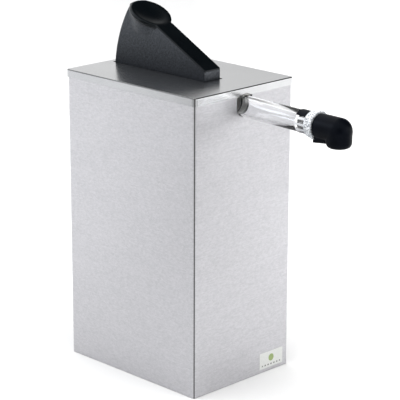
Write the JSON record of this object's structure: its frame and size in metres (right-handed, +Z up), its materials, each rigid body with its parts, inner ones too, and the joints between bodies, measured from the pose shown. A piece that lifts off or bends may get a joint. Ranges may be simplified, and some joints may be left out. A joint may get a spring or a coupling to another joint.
{
  "type": "condiment pump dispenser",
  "caption": "Countertop pump dispenser for pouched sauce: tall steel case, lift-off lid with a press-down lever, clear discharge tube and downturned nozzle.",
  "frame": {"origin": "middle of the case footprint on the plane that the feet rest on", "axes": "+Z up; the spout points along -Y; +X is to the right seen from the front"},
  "size_m": [0.141, 0.3225, 0.3766],
  "materials": {
    "brushed_steel": "fine horizontal brushed grain",
    "plain_steel": "mill finish",
    "polished_steel": "bright polished",
    "fastener_steel": "bright",
    "lever_plastic": "fine moulded texture",
    "spout_plastic": "satin",
    "clear_plastic": "clear",
    "frosted_plastic": "frosted",
    "white_plastic": "satin natural acetal",
    "grey_plastic": "satin",
    "seal_rubber": "matte",
    "label_foil": "satin foil"
  },
  "bodies": {
    "case": {"ball_cages": "white_plastic", "case_floor": "plain_steel", "case_shell": "brushed_steel", "connector_oring": "seal_rubber", "cylinder_head": "white_plastic", "cylinder_lock_nut": "grey_plastic", "cylinder_oring": "seal_rubber", "discharge_tube": "clear_plastic", "front_label": "label_foil", "outlet_elbow": "white_plastic", "pouch_connector": "white_plastic", "pump_bridge": "plain_steel", "pump_cylinder": "white_plastic", "return_spring": "fastener_steel", "ribbed_sleeve": "clear_plastic", "riser_orings": "seal_rubber", "riser_tube": "white_plastic", "rod_bushing": "grey_plastic", "rubber_feet": "seal_rubber", "sleeve_key": "spout_plastic", "spout_elbow": "spout_plastic", "support_rails": "plain_steel", "tube_oring": "seal_rubber", "valve_body": "white_plastic", "valve_clip": "fastener_steel"},
    "lid": {"lid": "polished_steel", "handle_bracket": "plain_steel", "bracket_nuts": "fastener_steel", "pivot_pin": "fastener_steel", "pin_clips": "fastener_steel"},
    "lever": {"lever_handle": "lever_plastic"},
    "plunger": {"plunger_rod": "fastener_steel", "piston": "white_plastic", "piston_seal": "seal_rubber", "piston_nut": "fastener_steel", "push_cap": "grey_plastic"},
    "spout_collar": {"spout_collar": "frosted_plastic"},
    "pouch_lock": {"pouch_lock_ring": "grey_plastic"},
    "inlet_ball": {"inlet_ball": "fastener_steel"},
    "outlet_ball": {"outlet_ball": "fastener_steel"}
  },
  "joints": [
    {"name": "lid_lift", "type": "slide", "parent": "case", "child": "lid", "axis": [0, 0, 1], "range_m": [0, 0.09]},
    {"name": "lever_press", "type": "hinge", "parent": "lid", "child": "lever", "pos_m": [0, -0.037, 0.3], "axis": [-1, 0, 0], "range_deg": [0, 20]},
    {"name": "plunger_slide", "type": "slide", "parent": "case", "child": "plunger", "axis": [0, 0, -1], "range_m": [0, 0.02473], "stiffness_N_per_m": 260, "springref_m": -0.03, "deforming": ["return_spring"]},
    {"name": "collar_turn", "type": "hinge", "parent": "case", "child": "spout_collar", "pos_m": [0, -0.18457, 0.28913], "axis": [0, -0.9997, -0.0241], "range_deg": [0, 60]},
    {"name": "pouch_lock_turn", "type": "hinge", "parent": "case", "child": "pouch_lock", "pos_m": [0, 0.033, 0.165], "axis": [0, 0, 1], "range_deg": [0, 60]},
    {"name": "inlet_ball_lift", "type": "slide", "parent": "case", "child": "inlet_ball", "axis": [0, 0, 1], "range_m": [0, 0.003]},
    {"name": "outlet_ball_lift", "type": "slide", "parent": "case", "child": "outlet_ball", "axis": [0, 0, 1], "range_m": [0, 0.003]}
  ],
  "couplings": [
    {"joint": "plunger_slide", "follows": "lever_press", "m_per_rad": 0.0708}
  ]
}
